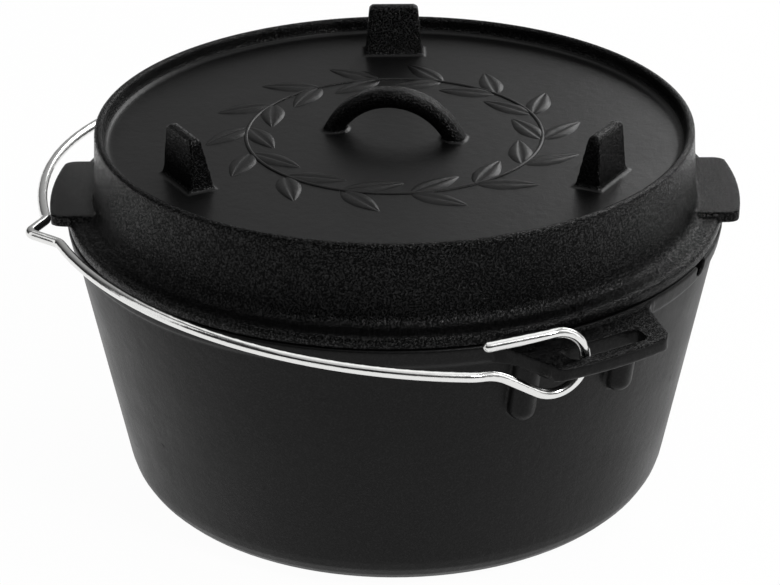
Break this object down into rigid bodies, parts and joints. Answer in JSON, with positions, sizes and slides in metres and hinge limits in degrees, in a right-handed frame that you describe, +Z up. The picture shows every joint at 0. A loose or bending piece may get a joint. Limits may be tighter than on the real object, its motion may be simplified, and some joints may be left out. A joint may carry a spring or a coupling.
{
  "type": "camp dutch oven",
  "caption": "Round cast-iron camp oven: tapered flat-based pot with slotted ears, a swinging wire bail, and a flanged lid with coal rim, loop handle and feet, for cooking over coals.",
  "frame": {"origin": "centre of the flat base, on the surface that the pot stands on", "axes": "+Z up out of the pot; +X through the middle of one ear, -X through the other; the bail hangs on the -Y side"},
  "size_m": [0.366, 0.3303, 0.1972],
  "materials": {
    "pot_iron": "seasoned sand casting, fine grain, satin black",
    "lid_iron": "seasoned sand casting, fine grain, satin black",
    "bail_wire": "drawn stainless wire, bright"
  },
  "bodies": {
    "pot": {"pot": "pot_iron"},
    "lid": {"lid": "lid_iron"},
    "bail": {"bail": "bail_wire"}
  },
  "joints": [
    {"name": "lid_lift", "type": "slide", "parent": "pot", "child": "lid", "axis": [0, 0, 1], "range_m": [0, 0.05]},
    {"name": "bail_swing", "type": "hinge", "parent": "pot", "child": "bail", "pos_m": [0, 0, 0.1332], "axis": [-0.9889, 0.1487, 0], "range_deg": [0, 170]}
  ]
}
